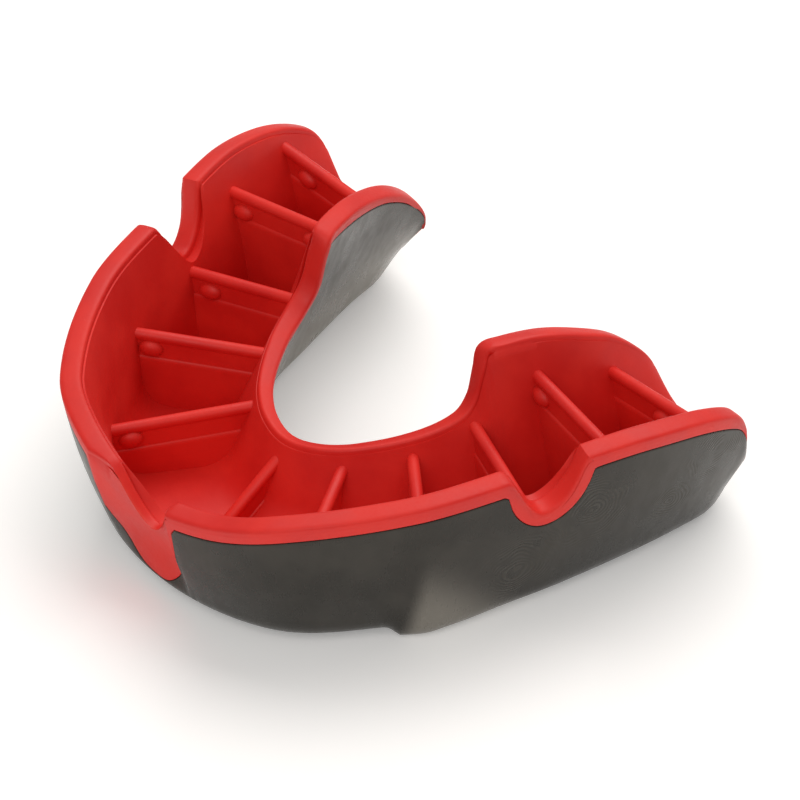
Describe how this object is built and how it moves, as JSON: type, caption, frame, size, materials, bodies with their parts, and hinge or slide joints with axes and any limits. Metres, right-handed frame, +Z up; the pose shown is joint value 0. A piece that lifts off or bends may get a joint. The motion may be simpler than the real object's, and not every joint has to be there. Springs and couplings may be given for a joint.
{
  "type": "mouthguard",
  "caption": "Self-fit upper mouthguard: firm outer shell bonded round a soft fitting liner, with a U-shaped tooth channel crossed by thin beaded fins.",
  "frame": {"origin": "middle of the arch, left to right and front to back, on the plane that the bite pads rest on", "axes": "+X towards the wearer's left across the arch, -Y towards the front teeth, +Z up out of the tooth channel"},
  "size_m": [0.0704, 0.0598, 0.0236],
  "materials": {
    "shell": "satin dark grey elastomer",
    "liner": "satin red elastomer"
  },
  "bodies": {
    "root": {"outer_shell": "shell", "fitting_liner": "liner", "fin_centre": "liner", "fin_front_left": "liner", "fin_front_right": "liner", "fin_canine_left": "liner", "fin_canine_right": "liner", "fin_premolar_left": "liner", "fin_premolar_right": "liner", "fin_molar_left": "liner", "fin_molar_right": "liner", "fin_rear_left": "liner", "fin_rear_right": "liner"}
  },
  "joints": []
}
